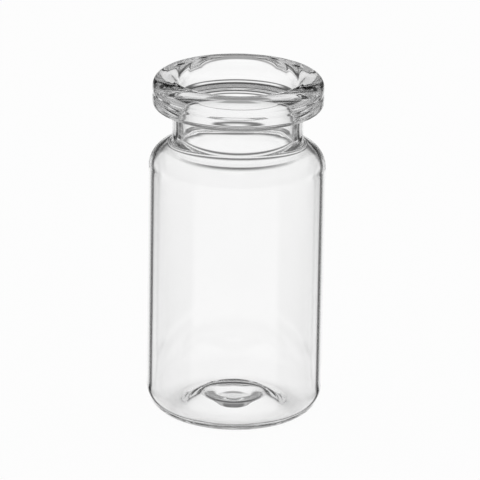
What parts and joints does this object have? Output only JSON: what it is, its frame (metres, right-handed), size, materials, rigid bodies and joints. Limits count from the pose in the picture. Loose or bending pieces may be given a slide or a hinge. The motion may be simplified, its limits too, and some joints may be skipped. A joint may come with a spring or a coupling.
{
  "type": "glass sample vial",
  "caption": "Clear glass sample vial with a straight round body, rounded shoulder and heel, short neck and a thick crimp flange around an open bore.",
  "frame": {"origin": "centre of the standing ring, on the surface the vial stands on", "axes": "+Z along the vial's axis, up through the mouth"},
  "size_m": [0.0207, 0.0206, 0.0411],
  "materials": {
    "clear_glass": "clear, fire-polished"
  },
  "bodies": {
    "root": {"vial": "clear_glass"}
  },
  "joints": []
}
